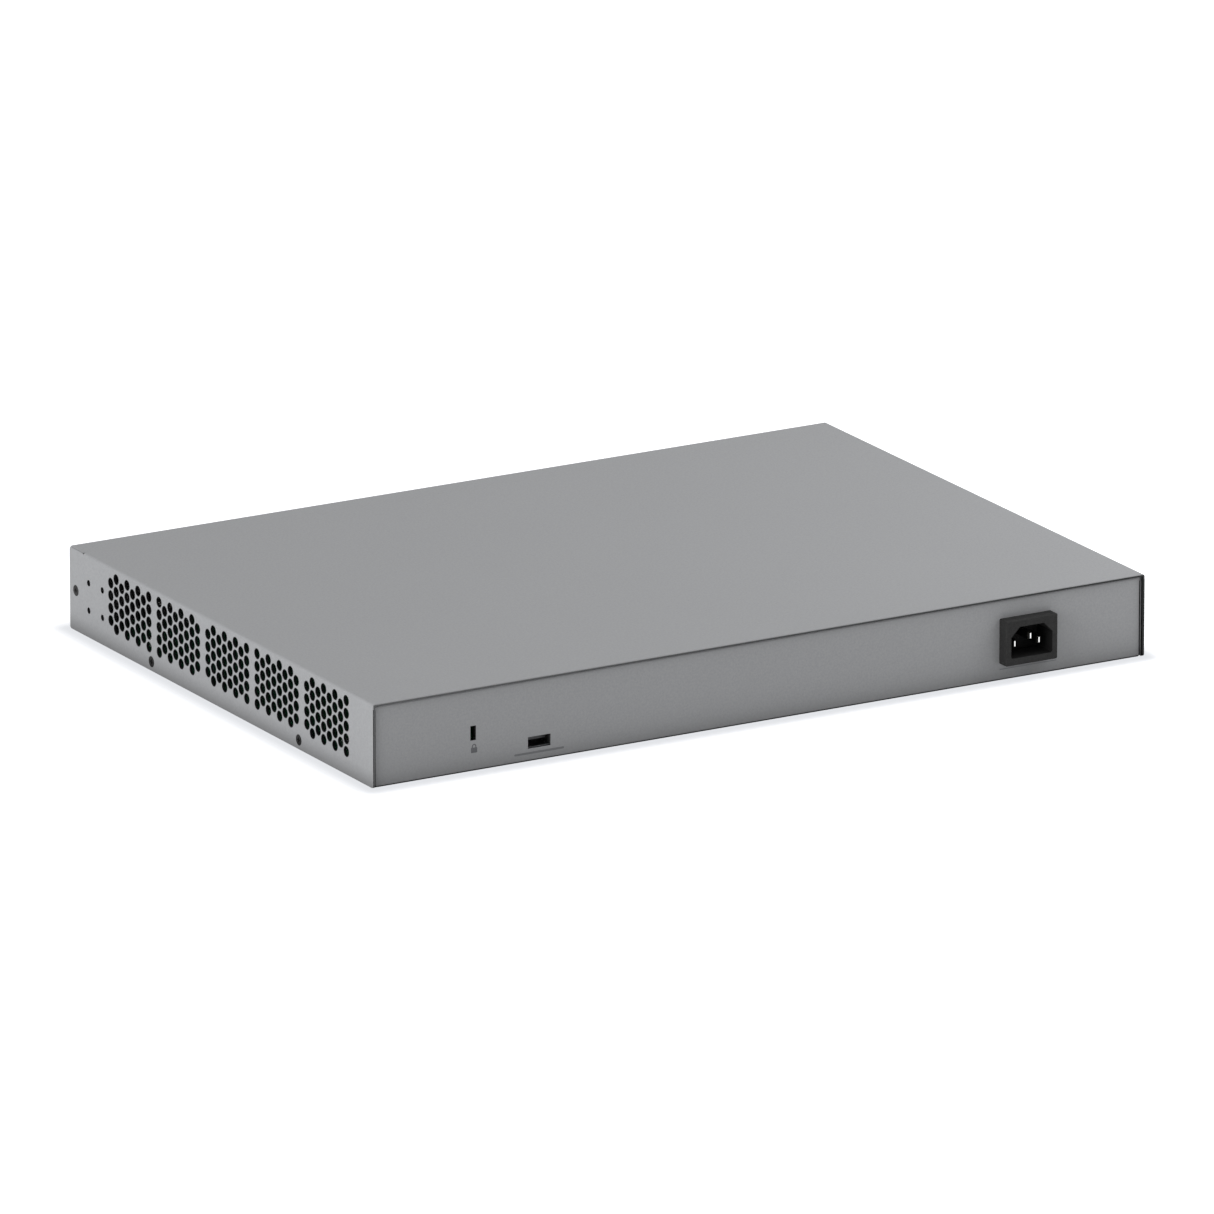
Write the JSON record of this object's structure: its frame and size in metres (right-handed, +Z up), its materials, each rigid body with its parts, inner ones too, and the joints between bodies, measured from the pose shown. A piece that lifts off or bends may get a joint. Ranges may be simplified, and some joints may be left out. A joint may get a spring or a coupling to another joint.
{
  "type": "rackmount network switch",
  "caption": "Flat grey steel network switch for a rack, vented sides, jacks and transceiver bays in front, mains inlet behind, side fans inside.",
  "frame": {"origin": "centre of the underside, on the surface the switch stands on", "axes": "+X towards the intake side with five vent groups, +Y towards the rear wall with the mains inlet, +Z up"},
  "size_m": [0.44, 0.3149, 0.0432],
  "materials": {
    "case_paint": "fine satin powder coat, mid grey",
    "zinc_steel": "bright zinc-plated sheet",
    "fascia": "fine moulded texture, charcoal",
    "dark_screw": "black-oxide steel",
    "board_screw": "zinc-plated steel",
    "standoff": "turned, plated steel",
    "main_laminate": "green solder mask",
    "supply_laminate": "bare paper laminate",
    "film": "translucent film",
    "jack_body": "moulded, black",
    "tin_shield": "tin-plated sheet",
    "contact": "gold-flashed spring wire",
    "lens": "milky clear",
    "button": "moulded, grey",
    "chip": "moulded epoxy",
    "heatsink": "extruded",
    "black_heatsink": "black anodised",
    "capacitor": "shrink sleeve",
    "coil": "moulded ferrite",
    "socket": "natural nylon",
    "inlet_plastic": "moulded, black",
    "pin_metal": "nickel-plated brass",
    "boot": "vinyl",
    "live_lead": "vinyl insulation",
    "earth_wire": "vinyl insulation",
    "harness": "vinyl insulation",
    "ferrite": "sintered",
    "winding_tape": "polyester tape",
    "fuse_glass": "glass with end caps",
    "fan_plastic": "glass-filled, black",
    "fan_steel": "varnished laminations"
  },
  "bodies": {
    "chassis": {"base_pan": "case_paint", "board_capacitors": "capacitor", "board_coils": "coil", "board_screws": "board_screw", "board_sockets": "socket", "board_standoffs": "standoff", "control_switches": "chip", "cover_screws": "dark_screw", "earth_lead": "earth_wire", "earth_lug": "pin_metal", "earth_stud": "standoff", "fan_bracket": "zinc_steel", "fan_cores": "fan_steel", "fan_frame_1": "fan_plastic", "fan_frame_2": "fan_plastic", "fan_frame_3": "fan_plastic", "fan_leads": "live_lead", "fan_screws": "board_screw", "front_bezel": "fascia", "front_panel": "zinc_steel", "inlet_boots": "boot", "inlet_housing": "inlet_plastic", "inlet_pins": "pin_metal", "jack_contacts": "contact", "jack_housing_left": "jack_body", "jack_housing_right": "jack_body", "jack_lenses": "lens", "jack_shield_left": "tin_shield", "jack_shield_right": "tin_shield", "light_pipe": "lens", "live_leads": "live_lead", "lock_plate": "zinc_steel", "main_board": "main_laminate", "main_chips": "chip", "mains_choke": "ferrite", "mains_fuse": "fuse_glass", "port_chips": "chip", "port_heatsinks": "black_heatsink", "power_transistors": "chip", "status_lamps": "lens", "supply_board": "supply_laminate", "supply_capacitors": "capacitor", "supply_harness": "harness", "supply_heat_bars": "heatsink", "supply_insulator": "film", "supply_sockets": "socket", "switch_heatsink": "black_heatsink", "top_cover": "case_paint", "transceiver_cage": "tin_shield", "transceiver_sockets": "jack_body", "transformer_coil": "winding_tape", "transformer_core": "ferrite", "underside_screws": "dark_screw", "usb_insert": "jack_body", "usb_shell": "tin_shield"},
    "mode_button": {"mode_button": "button"},
    "reset_button": {"reset_button": "button"},
    "fan_rotor_1": {"fan_rotor_1": "fan_plastic"},
    "fan_rotor_2": {"fan_rotor_2": "fan_plastic"},
    "fan_rotor_3": {"fan_rotor_3": "fan_plastic"}
  },
  "joints": [
    {"name": "fan_spin_1", "type": "hinge", "parent": "chassis", "child": "fan_rotor_1", "pos_m": [-0.2064, -0.042, 0.0215], "axis": [1, 0, 0], "continuous": true},
    {"name": "fan_spin_2", "type": "hinge", "parent": "chassis", "child": "fan_rotor_2", "pos_m": [-0.2064, 0.0082, 0.0215], "axis": [1, 0, 0], "continuous": true},
    {"name": "fan_spin_3", "type": "hinge", "parent": "chassis", "child": "fan_rotor_3", "pos_m": [-0.2064, 0.0584, 0.0215], "axis": [1, 0, 0], "continuous": true},
    {"name": "mode_press", "type": "slide", "parent": "chassis", "child": "mode_button", "axis": [0, 1, 0], "range_m": [0, 0.0008], "stiffness_N_per_m": 600},
    {"name": "reset_press", "type": "slide", "parent": "chassis", "child": "reset_button", "axis": [0, 1, 0], "range_m": [0, 0.0004], "stiffness_N_per_m": 600}
  ]
}
